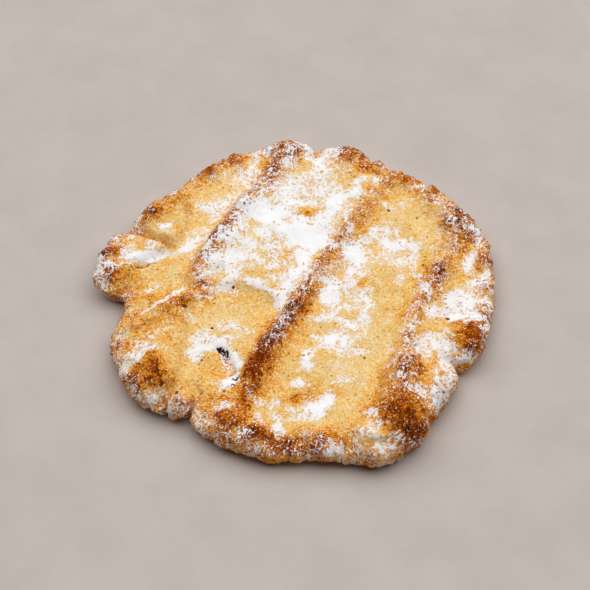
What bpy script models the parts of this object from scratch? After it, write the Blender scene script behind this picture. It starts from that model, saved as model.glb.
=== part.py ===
"""Amaretti cookie: one flat almond biscuit, pinched into ridges by the fingers that shaped it.

Run it with blender --background --python part.py, or from Blender's text editor.
The tables are in millimetres and degrees. The mesh is in metres, +Z up, and its origin is the
middle of the flat base that the cookie rests on. The cookie's back is at +Y and its right at +X.
"""

import bmesh
import bpy
import numpy as np
from mathutils import noise

MM = 0.001

# The body: heights above the table, in millimetres.
FLOOR = 4.9  # the valleys between the ridges
EQUATOR = 3.1  # the widest line of the side
EDGE_FALL = 4.2  # how far in from the edge the top starts to fall
EDGE_DROP = 1.3  # how far it falls there
SHOULDER = 2.6  # how far in from the outline the side rounds over into the top
UNDERCUT = 4.2  # how far in from the outline the flat base stays
LEFT_LOBE_ANGLE = 171  # the lobe whose underside curls up off the table
LEFT_LOBE_SPREAD = 9
LEFT_LOBE_LIFT = 1.2
LEFT_LOBE_UNDERCUT = 3.5

# The outline: angle from +X, and radius.
RIM = [
    (0, 39.0), (8, 39.4), (14, 40.4), (20, 41.0), (30, 40.8), (40, 40.4), (48, 39.9), (54, 39.1),
    (63, 39.3), (72, 41.1), (80, 40.7), (90, 41.2), (96, 40.9), (105, 39.9), (115, 39.1),
    (121, 38.3), (130, 36.8), (137, 37.0), (144, 37.6), (152, 37.2), (158, 39.9), (165, 40.2),
    (171, 40.0), (175, 40.0), (178.4, 38.2), (180.2, 33.6), (188, 33.5), (194, 36.0), (200, 37.8),
    (210, 39.1), (221, 39.4), (228, 38.0), (236, 35.9), (243, 37.5), (253, 38.7), (265, 39.1),
    (276, 39.2), (284, 40.4), (291, 43.3), (298, 43.2), (305, 42.1), (310, 39.9), (318, 38.9),
    (327, 37.2), (334, 37.9), (341, 38.7), (350, 38.5),
]
RIM_SOFTNESS = 1.0  # degrees over which the outline is rounded
# Splits in the edge: angle, depth, half width.
NOTCHES = [
    (58, 0.8, 2.2), (83.4, 1.2, 2.0), (228.6, 1.0, 1.8), (235.2, 2.2, 1.8), (282.6, 0.5, 1.8),
    (309.5, 0.7, 2.0), (329.7, 1.8, 2.0),
]

# Raised slabs of dough between the valleys: height, softness of the step, corners.
SLABS = {
    "middle": (1.2, 2.8, [
        (-20.5, 0.5), (-20, 6), (-17, 12), (-13, 19), (-8, 27), (-3, 34), (9, 35),
        (16, 29), (11, 19), (6, 9), (0, -2), (-3, -4), (-7, 0), (-12, 1),
    ]),
    "lower_left": (1.2, 2.8, [
        (-20, -3), (-27, -7), (-33, -10), (-33, -16), (-30, -23), (-24, -25.5), (-22, -20), (-21, -10),
    ]),
    "left": (1.1, 2.2, [(-38, 5), (-37, 13), (-33, 15), (-28, 13), (-25, 10.5), (-30, 8), (-33, 4)]),
    "upper_left": (1.3, 2.2, [(-31, 16), (-29, 22), (-22, 25), (-21.5, 18), (-24, 12), (-28, 14)]),
    "lower_right": (1.2, 2.6, [(19, -16), (15, -28), (10, -35), (12, -38), (22, -36), (28, -26), (27, -20)]),
}

# Pinched ridges: x, y, height, width to the left of the line's run, width to its right.
RIDGES = {
    "centre": [
        (18.3, 29, 0.9, 2.5, 1.8), (14.8, 23, 1.6, 2.4, 1.5), (11.3, 17.5, 1.8, 2.4, 1.4),
        (8.8, 12.5, 1.8, 2.4, 1.4), (6.2, 8, 1.9, 2.4, 1.4), (3.7, 3.5, 2.1, 2.4, 1.5),
        (1.1, -1.8, 2.4, 2.2, 1.6), (-1.5, -7.2, 2.8, 2.0, 1.8), (-4, -12.2, 3.0, 2.0, 2.0),
        (-6.5, -17.6, 3.2, 2.0, 2.2), (-8, -22, 2.9, 2.0, 2.2), (-8.5, -25.2, 1.2, 1.8, 2.0),
    ],
    "left": [
        (0, 38, 1.3, 2.5, 2.0), (-4, 32.5, 1.4, 2.5, 1.6), (-7, 28, 1.3, 2.5, 1.5),
        (-10, 23.5, 1.3, 2.4, 1.4), (-13.2, 18.5, 1.6, 2.4, 1.2), (-16.5, 12.5, 1.7, 2.4, 1.2),
        (-19, 7.2, 1.5, 2.4, 1.2), (-20, 3, 1.1, 2.2, 1.3), (-19, 0.3, 0.4, 2.0, 1.3),
    ],
    "lower_left": [
        (-16.5, -0.8, 0.2, 1.2, 1.5), (-19.5, -1.9, 1.3, 1.3, 2.0), (-22, -3.2, 2.0, 1.3, 2.4),
        (-25, -5.2, 1.8, 1.2, 2.4), (-28, -7.6, 1.3, 1.2, 2.2), (-31, -9.6, 0.9, 1.2, 2.0),
    ],
    "right": [
        (25, 27.5, 0.5, 2, 2), (30.5, 20.3, 1.4, 2.2, 2.4), (31.7, 14.5, 1.9, 2.4, 2.4),
        (30.3, 9.5, 1.2, 2.0, 2.2), (27.8, 4.5, 1.9, 2.2, 2.2), (26.3, 0.8, 1.8, 2.2, 2.0),
        (24.3, -2.6, 1.2, 2.0, 1.8), (23, -6.5, 1.2, 1.8, 1.8), (21.6, -11, 1.2, 1.8, 1.8),
        (21.2, -16, 1.6, 2.4, 2.2), (21, -20.5, 1.9, 2.6, 2.4), (19.8, -25.5, 2.2, 2.8, 3.0),
        (19.5, -31, 2.4, 3.0, 3.2), (21, -35, 1.6, 2.4, 2.2),
    ],
}
RIDGE_SHARPNESS = 1.7

# Domes where the dough puffed up: x, y, radius, height.
DOMES = [
    (33.3, -12.8, 4.8, 2.2), (19.3, -31.8, 5.5, 1.5), (-12.5, -31.5, 4.2, 2.0), (-6.8, -35.0, 3.6, 1.8),
    (4.5, -36.3, 4.0, 1.5), (13.5, -36, 4.0, 1.2), (-27, -20.8, 4.4, 2.0), (-27.3, -17, 3.5, 1.0),
    (-28.8, 19.7, 4.0, 1.7), (-23.3, 23, 3.4, 1.2), (-36.8, 9, 3.4, 1.4), (-36.8, 3.8, 3.0, 1.2),
    (-17.8, 32, 3.2, 1.5), (-12.3, 35.2, 3.2, 1.1), (-2.7, 37.4, 4.0, 1.6), (11, 37, 4.2, 1.9),
    (17, 32.8, 3.4, 1.5), (22.4, 29.8, 3.4, 1.5), (27.9, 26.2, 3.0, 1.2), (33.1, 17.4, 3.8, 1.3),
    (37.7, 8.2, 3.2, 1.4), (38, 1.2, 2.8, 1.0), (37.2, -5, 3.0, 1.1), (28, -26.6, 3.6, 1.2),
    (29, -21.8, 3.0, 1.0), (23.9, -36, 3.0, 0.9), (-34.3, -13.3, 2.6, 1.1), (-22.3, -27.2, 2.6, 1.1),
    (-24, -22.5, 3.0, 0.8), (-30.6, -23.6, 3, 0.7), (-12, 14, 3.2, 0.9), (-16, 6, 3.0, 0.6),
    (20, -20.5, 3.2, 0.6),
]
DOME_FALLOFF = 2.2

# Splits, cracks and hollows in the top: x, y, depth, half width.
GROOVES = {
    "back": [(4.4, 38.8, 1.4, 1.2), (4.6, 33, 0.4, 1.5)],
    "left_notch": [(-33.5, 0.5, 1.5, 1.6), (-29, 1.5, 0.5, 2.5), (-25, 3.5, 0.2, 3)],
    "left_lobe": [
        (-32.3, 15.3, 1.5, 1.2), (-28.5, 13.4, 1.3, 1.1), (-26, 12.4, 1.2, 1.1),
        (-24.6, 11, 0.9, 1.1), (-24.4, 9.5, 0.4, 1.2),
    ],
    "lower_left_notch": [(-19.5, -28, 1.8, 1.2), (-18.6, -25.3, 1.0, 1.2), (-19.2, -23, 0.3, 1.2)],
    "lower_left_crack": [(-24, -27.6, 1.8, 1.2), (-23.8, -25, 1.2, 1.1), (-23.2, -23.8, 0.4, 1.1)],
    "front_crack": [(8.9, -39.6, 1.6, 1.1), (8.6, -36.2, 1.0, 1.1), (8.3, -34, 0.3, 1.1)],
    "front_split": [(1.3, -39.3, 0.8, 1.1), (1.2, -36, 0.4, 1.1)],
    "right_notch": [(31.2, -18.3, 1.6, 1.2), (28.8, -18.5, 0.9, 1.2), (26.5, -15, 0.4, 2.0)],
    "right_side": [(25.8, -31.4, 1.0, 1.1), (24.4, -27, 0.7, 1.1), (23.6, -22, 0.3, 1.2)],
    "right_valley": [(34, 9, 0.5, 2), (33.2, 0, 0.7, 2.6), (31.8, -5, 0.9, 2.6), (27.5, -9, 0.5, 2.2),
                     (26, -14, 0.4, 2)],
    "burst": [(-14.6, -14.8, 0.5, 1.1), (-13.4, -16.4, 1.2, 1.1), (-12.4, -18.5, 1.2, 1.1),
              (-11.6, -20.5, 0.7, 1.1), (-11.2, -22.7, 0.3, 1.1)],
    "dimple": [(-17.5, -19.0, 0.5, 2.2), (-14.2, -20.3, 0.7, 2.0)],
}

# Uneven dough: size of the lumps, height on the top, push on the outline.
LUMPS = [(7.0, 0.45, 0.35), (3.4, 0.28, 0.30)]
LUMP_SEED = 11.0

CELLS = 52  # cells along each side of the grid that becomes the top
SIDE_STEPS = (0.30, 0.62, 0.90, 1.22, 1.55, 2.0)  # quarter turns from the shoulder, down to the base
TABLE_STEPS = 1440  # samples of the outline in a full turn

CRUST_COLOUR = (0.72, 0.42, 0.15, 1.0)
CRUST_ROUGHNESS = 0.85


def smooth_step(x):
    x = np.clip(x, 0.0, 1.0)
    return x * x * (3 - 2 * x)


def outline_table():
    """Angles and radii of the rounded outline with its notches."""
    step = 360 / TABLE_STEPS
    fine = np.arange(TABLE_STEPS) * step
    angles, radii = np.array(RIM, float).T
    sharp = np.interp(fine, angles, radii, period=360)
    offsets = np.arange(-int(4 * RIM_SOFTNESS / step), int(4 * RIM_SOFTNESS / step) + 1)
    weights = np.exp(-0.5 * (offsets * step / RIM_SOFTNESS) ** 2)
    radius = sum(w * np.roll(sharp, n) for w, n in zip(weights / weights.sum(), offsets))
    for at, depth, half_width in NOTCHES:
        away = (fine - at + 180) % 360 - 180
        radius = radius - depth * np.exp(-((away / half_width) ** 2))
    return fine, radius


OUTLINE = outline_table()


def outline_radius(angle):
    return np.interp(angle % 360, *OUTLINE, period=360)


def along(line, x, y):
    """Each point's distance to a line, its side of it, and the line's own values where it is nearest."""
    line = np.array(line, float)
    distance = np.full(x.shape, np.inf)
    side = np.ones(x.shape)
    values = np.zeros((line.shape[1] - 2,) + x.shape)
    for a, b in zip(line[:-1], line[1:]):
        run = b - a
        share = ((x - a[0]) * run[0] + (y - a[1]) * run[1]) / (run[0] ** 2 + run[1] ** 2)
        share = np.clip(share, 0, 1)
        dx, dy = x - a[0] - share * run[0], y - a[1] - share * run[1]
        here = np.hypot(dx, dy)
        nearer = here < distance
        distance = np.where(nearer, here, distance)
        side = np.where(nearer, np.sign(run[0] * dy - run[1] * dx), side)
        found = a[2:, None] + share * run[2:, None]
        values = np.where(nearer, found, values)
    return distance, side, values


def depth_inside(corners, x, y):
    """Distance to the edge of a closed shape, positive inside it."""
    loop = corners + corners[:1]
    distance = along(loop, x, y)[0]
    inside = np.zeros(x.shape, bool)
    for (ax, ay), (bx, by) in zip(loop[:-1], loop[1:]):
        if ay != by:
            crosses_at = ax + (y - ay) * (bx - ax) / (by - ay)
            inside ^= ((ay > y) != (by > y)) & (x < crosses_at)
    return np.where(inside, distance, -distance)


def lumps(x, y, size, seed):
    return np.array([noise.noise((a / size, b / size, seed)) for a, b in zip(x, y)])


def top_height(x, y):
    """Height of the cookie's top above the table, in millimetres."""
    height = np.full(x.shape, FLOOR)
    for rise, softness, corners in SLABS.values():
        height += rise * smooth_step(depth_inside(corners, x, y) / softness + 0.5)
    for line in RIDGES.values():
        distance, side, (rise, left, right) = along(line, x, y)
        width = np.where(side > 0, left, right)
        height += rise * np.exp(-((distance / width) ** RIDGE_SHARPNESS))
    for centre_x, centre_y, radius, rise in DOMES:
        distance = np.hypot(x - centre_x, y - centre_y) / radius
        height += rise * np.exp(-DOME_FALLOFF * distance**2)
    for line in GROOVES.values():
        distance, _, (depth, width) = along(line, x, y)
        height -= depth * np.exp(-((distance / width) ** 2))
    for number, (size, rise, _) in enumerate(LUMPS):
        height += rise * lumps(x, y, size, LUMP_SEED + number)
    inward = outline_radius(np.degrees(np.arctan2(y, x))) - np.hypot(x, y)
    return height - EDGE_DROP * (1 - smooth_step(inward / EDGE_FALL)) ** 1.5


def uneven_radius(angle):
    """The outline with the lumps of the dough pushed into it."""
    radius = outline_radius(angle)
    turn = np.radians(angle)
    for number, (size, _, push) in enumerate(LUMPS):
        at = radius * np.cos(turn), radius * np.sin(turn)
        radius = radius + push * lumps(*at, size, -LUMP_SEED - number)
    return radius


def left_lobe(angle):
    away = (angle % 360 - LEFT_LOBE_ANGLE) / LEFT_LOBE_SPREAD
    return np.exp(-(away**2))


def disc_from_square(u, v):
    """Angle and share of the radius for a point of the square grid, whose square rings become circles."""
    reach = np.maximum(np.abs(u), np.abs(v))
    safe = np.where(reach > 0, reach, 1)
    wide = np.abs(u) >= np.abs(v)
    across = np.where(wide, v / safe * np.sign(u), -u / safe * np.sign(v))
    start = np.where(wide, np.where(u >= 0, 0, 180), np.where(v >= 0, 90, 270))
    return (start + 45 * across) % 360, reach


def top_points(u, v):
    angle, share = disc_from_square(u, v)
    radius = share * (uneven_radius(angle) - SHOULDER)
    x, y = radius * np.cos(np.radians(angle)), radius * np.sin(np.radians(angle))
    return np.stack([x, y, top_height(x, y)], 1)


def side_points(angle, quarter_turns):
    """One ring of the side: 0 is where it leaves the top, 1 its widest line and 2 the edge of the base."""
    radius = uneven_radius(angle)
    turn = np.radians(angle)
    lobe = left_lobe(angle)
    equator = EQUATOR + LEFT_LOBE_LIFT * lobe
    swing = quarter_turns * np.pi / 2
    if quarter_turns <= 1:
        start = radius - SHOULDER
        crown = top_height(start * np.cos(turn), start * np.sin(turn))
        radius = start + SHOULDER * np.sin(swing)
        height = equator + (crown - equator) * np.cos(swing)
    else:
        undercut = UNDERCUT + LEFT_LOBE_UNDERCUT * lobe
        radius = radius - undercut * (1 - np.sin(swing))
        height = equator + equator * np.cos(swing)
    return np.stack([radius * np.cos(turn), radius * np.sin(turn), height], 1)


def place(vertices, points):
    for vertex, point in zip(vertices, points):
        vertex.co = point * MM


def cookie_mesh():
    """A grid bent into the top, its border extruded down the side, and one flat face for the base."""
    form = bmesh.new()
    bmesh.ops.create_grid(form, x_segments=CELLS, y_segments=CELLS, size=1)
    grid = np.array([vertex.co[:] for vertex in form.verts])
    place(form.verts, top_points(grid[:, 0], grid[:, 1]))
    border = [edge for edge in form.edges if edge.is_boundary]
    for quarter_turns in SIDE_STEPS:
        made = bmesh.ops.extrude_edge_only(form, edges=border)["geom"]
        ring = [item for item in made if isinstance(item, bmesh.types.BMVert)]
        at = np.array([vertex.co[:] for vertex in ring])
        angle = np.degrees(np.arctan2(at[:, 1], at[:, 0]))
        place(ring, side_points(angle, quarter_turns))
        border = [item for item in made if isinstance(item, bmesh.types.BMEdge)]
    bmesh.ops.contextual_create(form, geom=border)
    bmesh.ops.recalc_face_normals(form, faces=form.faces)
    mesh = bpy.data.meshes.new("cookie")
    form.to_mesh(mesh)
    form.free()
    return mesh


def centre_on_base(mesh):
    """Moves the mesh so that the origin is under the middle of its box."""
    points = np.array([vertex.co[:] for vertex in mesh.vertices])
    middle = (points.min(0) + points.max(0)) / 2
    for vertex in mesh.vertices:
        vertex.co.x -= middle[0]
        vertex.co.y -= middle[1]


def crust_material():
    material = bpy.data.materials.new("crust")
    material.use_nodes = True
    shader = material.node_tree.nodes["Principled BSDF"]
    shader.inputs["Base Color"].default_value = CRUST_COLOUR
    shader.inputs["Roughness"].default_value = CRUST_ROUGHNESS
    shader.inputs["Metallic"].default_value = 0.0
    return material


def main():
    for item in list(bpy.data.objects):
        bpy.data.objects.remove(item)
    collection = bpy.data.collections.new("amaretti_cookie")
    bpy.context.scene.collection.children.link(collection)
    mesh = cookie_mesh()
    centre_on_base(mesh)
    mesh.shade_smooth()
    mesh.materials.append(crust_material())
    collection.objects.link(bpy.data.objects.new("cookie", mesh))


main()
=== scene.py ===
"""The looks of the amaretti cookie: a crust with browning, cracks and powdered sugar, and loose grains of it.

The tables are in millimetres and degrees, in the plane that the cookie lies in: x to the right, y to the
back. The crust repeats the form of the CAD node at a much finer step and with narrower splits, and then its
box is centred over the node's. Blender's lengths are metres.
"""

import math

import bmesh
import bpy
import numpy as np
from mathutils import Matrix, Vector, geometry, noise


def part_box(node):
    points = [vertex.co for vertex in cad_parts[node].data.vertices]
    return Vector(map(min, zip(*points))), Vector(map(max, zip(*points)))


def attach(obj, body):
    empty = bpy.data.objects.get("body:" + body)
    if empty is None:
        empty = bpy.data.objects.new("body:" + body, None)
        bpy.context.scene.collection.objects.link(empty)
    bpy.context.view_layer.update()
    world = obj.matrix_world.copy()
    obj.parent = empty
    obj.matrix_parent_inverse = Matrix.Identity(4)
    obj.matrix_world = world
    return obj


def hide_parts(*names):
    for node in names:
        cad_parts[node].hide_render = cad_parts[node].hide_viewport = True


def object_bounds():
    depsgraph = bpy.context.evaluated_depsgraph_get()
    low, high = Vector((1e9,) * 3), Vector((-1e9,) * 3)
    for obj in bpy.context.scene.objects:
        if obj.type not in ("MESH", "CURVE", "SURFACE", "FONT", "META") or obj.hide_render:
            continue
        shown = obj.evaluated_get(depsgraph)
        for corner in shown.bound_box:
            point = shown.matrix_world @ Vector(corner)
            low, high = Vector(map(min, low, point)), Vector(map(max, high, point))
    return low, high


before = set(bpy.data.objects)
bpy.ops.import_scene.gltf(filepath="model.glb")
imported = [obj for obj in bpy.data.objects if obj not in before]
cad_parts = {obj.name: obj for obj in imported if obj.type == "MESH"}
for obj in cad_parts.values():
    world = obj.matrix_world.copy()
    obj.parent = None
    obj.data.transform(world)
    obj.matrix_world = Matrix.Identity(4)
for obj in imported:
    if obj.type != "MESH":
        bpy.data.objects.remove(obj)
CAD_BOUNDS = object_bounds()

MM = 0.001
NODE = "cookie"

# ---- the form, close to the CAD node's
FLOOR = 4.9  # the valleys between the ridges
EQUATOR = 3.1  # the widest line of the side
EDGE_FALL = 4.2  # how far in from the edge the top starts to fall
EDGE_DROP = 1.3  # how far it falls there
EDGE_CURVE = 1.5  # the higher, the nearer to the edge the fall keeps
SHOULDER = 2.6  # how far in from the outline the side rounds over into the top
UNDERCUT = 4.2  # how far in from the outline the flat base stays
LEFT_LOBE_ANGLE = 171  # the lobe whose underside curls up off the table
LEFT_LOBE_SPREAD = 9
LEFT_LOBE_LIFT = 1.2
LEFT_LOBE_UNDERCUT = 3.5
MEAN_RADIUS = 39  # of the true circle that the middle of the top's grid follows
GRID_BEND = 4  # the higher, the nearer to the edge the grid bends to the outline

# The outline: angle from +X, and radius.
RIM = [
    (0, 39), (8, 39.4), (14, 40.4), (20, 41), (30, 40.8), (40, 40.4), (48, 39.9), (54, 39.1), (63, 39.3),
    (72, 41.1), (80, 40.7), (90, 41.2), (96, 40.9), (105, 39.9), (115, 39.1), (121, 38.3), (130, 36.8),
    (137, 37), (144, 37.6), (152, 37.2), (158, 39.9), (165, 40.2), (171, 40), (175, 40), (178.4, 38.2),
    (180.2, 33.6), (188, 33.5), (194, 36), (200, 37.8), (210, 39.1), (221, 39.4), (228, 38), (236, 35.9),
    (243, 37.5), (253, 38.7), (265, 39.1), (276, 39.2), (284, 40.4), (291, 43.3), (298, 43.2), (305, 42.1),
    (310, 39.9), (318, 38.9), (327, 37.2), (334, 37.9), (341, 38.7), (350, 38.5),
]
RIM_SOFTNESS = 1  # degrees over which its corners are rounded
# Splits in the edge: angle, depth, half width.
NOTCHES = [
    (58, 0.8, 1.6), (83.4, 1.2, 1.6), (153, 0.5, 1.2), (208.5, 0.6, 1), (228.6, 1.3, 0.9), (235.2, 2.4, 1),
    (272.3, 0.5, 0.8), (282.6, 0.8, 0.5), (298.5, 0.5, 0.9), (309.5, 0.7, 1.3), (329.7, 1.9, 1.4),
]

# Raised slabs of dough between the valleys: height, softness of the step, corners.
SLABS = {
    "middle": (1.2, 2.8, [
        (-20.5, 0.5), (-20, 6), (-17, 12), (-13, 19), (-8, 27), (-3, 34), (9, 35), (16, 29), (11, 19), (6, 9),
        (0, -2), (-3, -4), (-7, 0), (-12, 1),
    ]),
    "lower_left": (1.2, 2.8, [
        (-20, -3), (-27, -7), (-33, -10), (-33, -16), (-30, -23), (-24, -25.5), (-22, -20), (-21, -10),
    ]),
    "left": (1.1, 2.2, [(-38, 5), (-37, 13), (-33, 15), (-28, 13), (-25, 10.5), (-30, 8), (-33, 4)]),
    "upper_left": (1.3, 2.2, [(-31, 16), (-29, 22), (-22, 25), (-21.5, 18), (-24, 12), (-28, 14)]),
    "lower_right": (1.2, 2.6, [(19, -16), (15, -28), (10, -35), (12, -38), (22, -36), (28, -26), (27, -20)]),
}

# Pinched ridges: x, y, height, width to the left of the line's run, width to its right, browning.
RIDGES = {
    "centre": [
        (18.3, 29, 0.9, 2.5, 1.8, 0.16), (14.8, 23, 1.6, 2.4, 1.5, 0.22), (11.3, 17.5, 1.8, 2.4, 1.4, 0.24),
        (8.8, 12.5, 1.8, 2.4, 1.4, 0.26), (6.2, 8, 1.9, 2.4, 1.4, 0.28), (3.7, 3.5, 2.1, 2.4, 1.5, 0.34),
        (1.1, -1.8, 2.4, 2.2, 1.6, 0.42), (-1.5, -7.2, 2.8, 2, 1.8, 0.54), (-4, -12.2, 3, 2, 2, 0.58),
        (-6.5, -17.6, 3.2, 2, 2.2, 0.68), (-8, -22, 2.9, 2, 2.2, 0.62), (-8.5, -25.2, 1.2, 1.8, 2, 0.35),
    ],
    "left": [
        (0, 38, 1.3, 2.5, 2, 0.3), (-4, 32.5, 1.4, 2.5, 1.6, 0.4), (-7, 28, 1.3, 2.5, 1.5, 0.3),
        (-10, 23.5, 1.3, 2.4, 1.4, 0.3), (-13.2, 18.5, 1.6, 2.4, 1.2, 0.45),
        (-16.5, 12.5, 1.7, 2.4, 1.2, 0.5), (-19, 7.2, 1.5, 2.4, 1.2, 0.42), (-20, 3, 1.1, 2.2, 1.3, 0.3),
        (-19, 0.3, 0.4, 2, 1.3, 0.25),
    ],
    "lower_left": [
        (-16.5, -0.8, 0.2, 1.2, 1.5, 0.15), (-19.5, -1.9, 1.3, 1.3, 2, 0.3), (-22, -3.2, 2, 1.3, 2.4, 0.48),
        (-25, -5.2, 1.8, 1.2, 2.4, 0.26), (-28, -7.6, 1.3, 1.2, 2.2, 0.06), (-31, -9.6, 0.9, 1.2, 2, 0.08),
    ],
    "right": [
        (25, 27.5, 0.5, 2, 2, 0.1), (30.5, 20.3, 1.4, 2.2, 2.4, 0.22), (31.7, 14.5, 1.9, 2.4, 2.4, 0.32),
        (30.3, 9.5, 1.2, 2, 2.2, 0.18), (27.8, 4.5, 1.9, 2.2, 2.2, 0.46), (26.3, 0.8, 1.8, 2.2, 2, 0.34),
        (24.3, -2.6, 1.2, 2, 1.8, 0.35), (23, -6.5, 1.2, 1.8, 1.8, 0.3), (21.6, -11, 1.2, 1.8, 1.8, 0.25),
        (21.2, -16, 1.6, 2.4, 2.2, 0.38), (21, -20.5, 1.9, 2.6, 2.4, 0.42), (19.8, -25.5, 2.2, 2.8, 3, 0.36),
        (19.5, -31, 2.4, 3, 3.2, 0.3), (21, -35, 1.6, 2.4, 2.2, 0.26),
    ],
}
RIDGE_SHARPNESS = 1.7

# Domes where the dough puffed up: x, y, radius, height, browning.
DOMES = [
    (33.3, -12.8, 4.8, 2.2, 0.5), (20.3, -31.8, 5.5, 1.5, 0.16), (-12.5, -31.5, 4.2, 2, 0.34),
    (-6.8, -35, 3.6, 1.8, 0.4), (4.5, -36.3, 4, 1.5, 0.3), (13.5, -36, 4, 1.2, 0.1),
    (-27, -20.8, 4.4, 2, 0.45), (-27.3, -17, 3.5, 1, 0.2), (-28.8, 19.7, 4, 1.7, 0.36),
    (-23.3, 23, 3.4, 1.2, 0.15), (-36.8, 9, 3.4, 1.4, 0.5), (-36.8, 3.8, 3, 1.2, 0.3),
    (-17.8, 32, 3.2, 1.5, 0.4), (-12.3, 35.2, 3.2, 1.1, 0.25), (-2.7, 37.4, 4, 1.6, 0.2),
    (11, 37, 4.2, 1.9, 0.45), (17, 32.8, 3.4, 1.5, 0.2), (22.4, 29.8, 3.4, 1.5, 0.3),
    (27.9, 26.2, 3, 1.2, 0.16), (33.1, 17.4, 3.8, 1.3, 0.3), (37.7, 8.2, 3.2, 1.4, 0.3),
    (38, 1.2, 2.8, 1, 0.2), (37.2, -5, 3, 1.1, 0.25), (28, -26.6, 3.6, 1.2, 0.1), (29, -21.8, 3, 1, 0.15),
    (23.9, -36, 3, 0.9, 0.2), (-34.3, -13.3, 2.6, 1.1, 0.15), (-22.3, -27.2, 2.6, 1.1, 0.15),
    (-24, -22.5, 3, 0.8, 0.1), (-30.6, -23.6, 3, 0.7, 0.2), (-12, 14, 3.2, 0.9, 0), (-16, 6, 3, 0.6, 0),
    (20, -20.5, 3.2, 0.6, 0.1),
]
DOME_FALLOFF = 2.2

# Splits, cracks and hollows in the top: x, y, depth, half width.
GROOVES = {
    "back": [(4.4, 38.8, 1.4, 1.2), (4.6, 33, 0.4, 1.5)],
    "left_notch": [(-33.5, 0.5, 1.5, 1.6), (-29, 1.5, 0.5, 2.5), (-25, 3.5, 0.2, 3)],
    "left_lobe": [
        (-32.3, 15.3, 1.5, 0.8), (-28.5, 13.4, 1.4, 0.55), (-26, 12.4, 1.3, 0.5), (-24.6, 11, 1, 0.5),
        (-24.4, 9.5, 0.4, 0.8),
    ],
    "lower_left_notch": [(-19.5, -28, 2, 0.8), (-18.6, -25.3, 1, 0.8), (-19.2, -23, 0.3, 1)],
    "lower_left_crack": [(-24, -27.6, 2.2, 0.9), (-23.8, -25, 1.4, 0.8), (-23.2, -23.8, 0.4, 0.8)],
    "front_crack": [(8.9, -39.6, 2.2, 0.65), (8.6, -36.2, 1.4, 0.55), (8.3, -34, 0.3, 0.5)],
    "front_split": [(1.3, -39.3, 1, 0.8), (1.2, -36, 0.5, 0.8)],
    "right_notch": [(31.2, -18.3, 1.6, 1), (28.8, -18.5, 0.9, 1.2), (26.5, -15, 0.4, 2)],
    "right_side": [(25.8, -31.4, 1, 0.9), (24.4, -27, 0.7, 1), (23.6, -22, 0.3, 1.2)],
    "right_valley": [
        (34, 9, 0.5, 2), (33.2, 0, 0.7, 2.6), (31.8, -5, 0.9, 2.6), (27.5, -9, 0.5, 2.2), (26, -14, 0.4, 2),
    ],
    "burst": [
        (-14.6, -14.8, 0.5, 1), (-13.4, -16.4, 1.3, 1), (-12.4, -18.5, 1.3, 0.9), (-11.6, -20.5, 0.8, 0.8),
        (-11.2, -22.7, 0.3, 0.8),
    ],
    "dimple": [(-17.5, -19, 0.5, 2.2), (-14.2, -20.3, 0.7, 2)],
}

# Uneven dough: size of the lumps, height on the top, push on the outline.
LUMPS = [(7, 0.45, 0.35), (3.4, 0.28, 0.3)]
LUMP_SEED = 11

# ---- the mesh
CELLS = 290  # cells along each side of the grid that becomes the top
SIDE_STEPS = (0.25, 0.5, 0.72, 0.9, 1.08, 1.28, 1.5, 1.75, 2)  # quarter turns, down to the base
TABLE_STEPS = 1440  # samples of the outline in a full turn
BASE_STEP = 1.6  # spacing of the points inside the base
BASE_SHAKE = (0.3, 7.3, 5.9)  # share of it that they stray, and how fast that varies along Y and X
BASE_MARGIN = 0.6  # share of it that they keep clear of the edge
TOP_BAND = (0.1, 1.4)  # heights above the widest line between which the side becomes the top
UNDERSIDE_BAND = 0.02  # the height below which a point belongs to the underside

# ---- finer relief, which only the looks have
# Hairline cracks: depth, half width, and x, y along each. They are sunk into the relief and get painted
# shade.
CRACKS = {
    "left_lobe": (0.35, 0.16, [(-30.8, 15), (-28.6, 13.7), (-26.6, 12.7), (-25.2, 11.6), (-24.6, 9.6)]),
    "left_lobe_fold": (0.35, 0.2, [(-31, 6), (-29.3, 6.6), (-27.6, 7.3)]),
    "upper_left": (0.2, 0.16, [(-20.9, 21.6), (-21.1, 19.4), (-20.3, 17.6)]),
    "slab_top": (0.22, 0.16, [(-14, 15.6), (-13.6, 13.9), (-12.4, 13.4)]),
    "slab": (0.22, 0.16, [(-14, 13.2), (-14.5, 11.2), (-14.3, 9.2), (-13.6, 7.6), (-14.1, 5.6), (-13.4, 4)]),
    "big_bump": (0.5, 0.24, [(22.8, -31.4), (22.2, -33.2), (21, -35), (19.6, -36.6)]),
    "right_lower": (0.5, 0.3, [(26.4, -24), (27.4, -25), (28.3, -25.4)]),
    "right_rim": (0.4, 0.3, [(31, 21.6), (32.4, 20.8), (33.8, 20.6)]),
    "lower_left_bump": (0.5, 0.3, [(-26.2, -19.2), (-26, -21), (-25.8, -22.6), (-25, -24.2)]),
    "front_left": (0.15, 0.2, [(-10.2, -26.5), (-9.6, -28.2), (-9.9, -30)]),
}
CRACK_WANDER = 0.45  # how far a crack strays from its line
# A crack's painted shade is full from this depth on.
OPEN_CRACK = 0.4  # the depth from which a crack counts as fully dark
BASE_FADE = 0.8  # the height by which the finer relief has reached its full depth
CREST_ROOM = 0.2  # how far the finer relief may rise above the CAD node

CRAGGY_START = 0.15  # how craggy the crust is everywhere
CRAGGY_BY_BAKE = (1.3, 0.22)  # what browning adds to that, and the browning from which it adds
CRAGGY_BY_RIM = (0.6, 4.5)  # what the rim adds, and how far in that reaches
CRAGGY_SIDE = 0.5
CRAGGY_LIMITS = (0.1, 1.1)

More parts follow.
